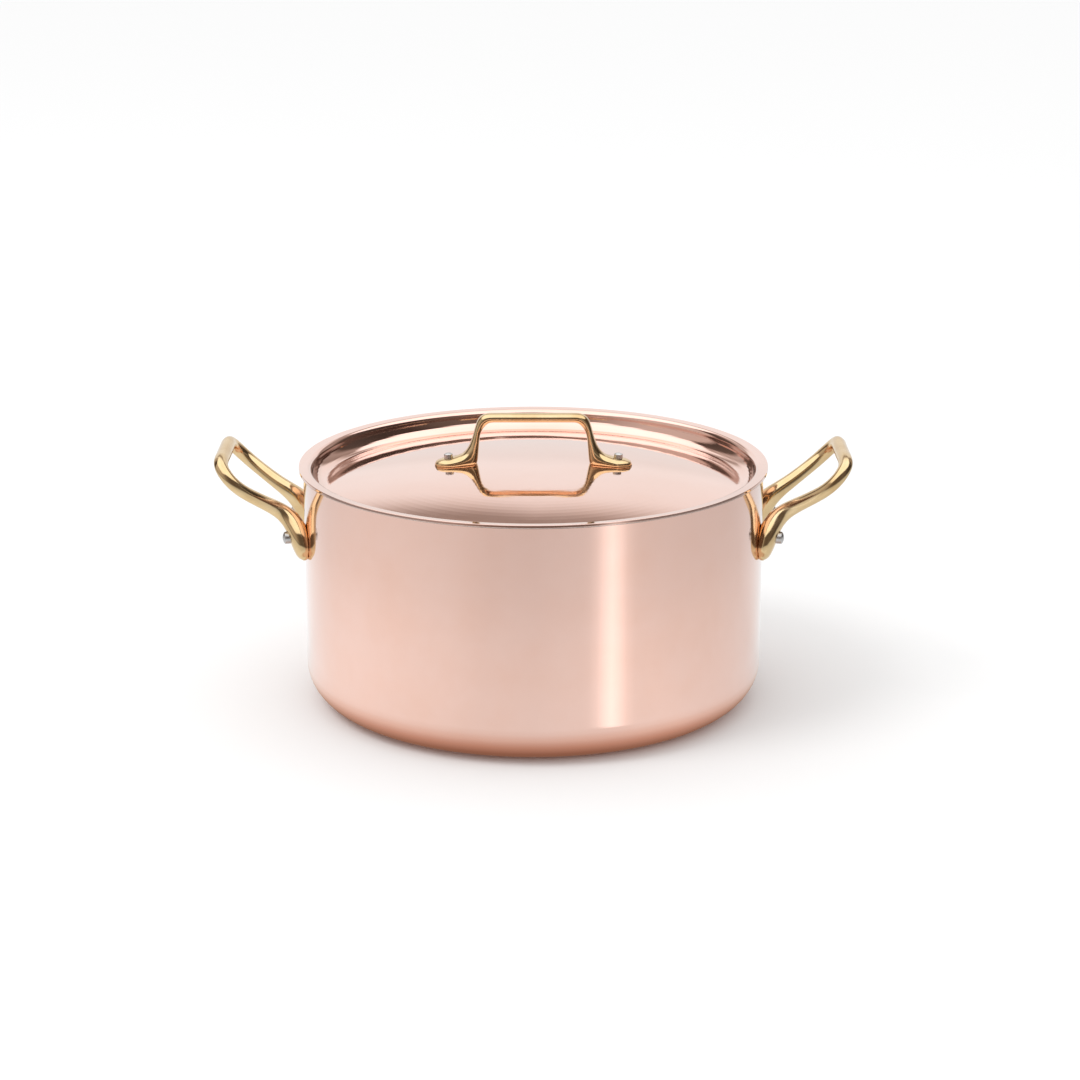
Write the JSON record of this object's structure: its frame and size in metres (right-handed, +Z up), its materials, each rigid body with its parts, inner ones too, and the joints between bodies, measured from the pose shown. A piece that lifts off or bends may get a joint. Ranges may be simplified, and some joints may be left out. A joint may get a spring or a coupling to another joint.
{
  "type": "stewpan with lid",
  "caption": "Low, wide lidded cooking pan in polished copper with two short cast side handles and a domed, sunk lid that lifts off by its own handle.",
  "frame": {"origin": "centre of the pan's flat base, on the table and on the pan's axis", "axes": "+Z up along the pan's axis; the two side handles lie along +X and -X; the lid's handle also runs along X"},
  "size_m": [0.3344, 0.2488, 0.1543],
  "materials": {
    "copper": null,
    "stainless": "satin, turned brushing",
    "brass_casting": "cast and hand polished",
    "rivet_steel": "tumbled, softly polished"
  },
  "bodies": {
    "pan": {"pan_shell": "copper", "pan_lining": "stainless", "left_handle": "brass_casting", "right_handle": "brass_casting", "left_handle_front_rivet": "rivet_steel", "left_handle_back_rivet": "rivet_steel", "right_handle_front_rivet": "rivet_steel", "right_handle_back_rivet": "rivet_steel"},
    "lid": {"lid_shell": "copper", "lid_lining": "stainless", "lid_handle": "brass_casting", "lid_handle_left_rivet": "rivet_steel", "lid_handle_right_rivet": "rivet_steel"}
  },
  "joints": [
    {"name": "lid_lift", "type": "slide", "parent": "pan", "child": "lid", "axis": [0, 0, 1], "range_m": [0, 0.15]}
  ]
}
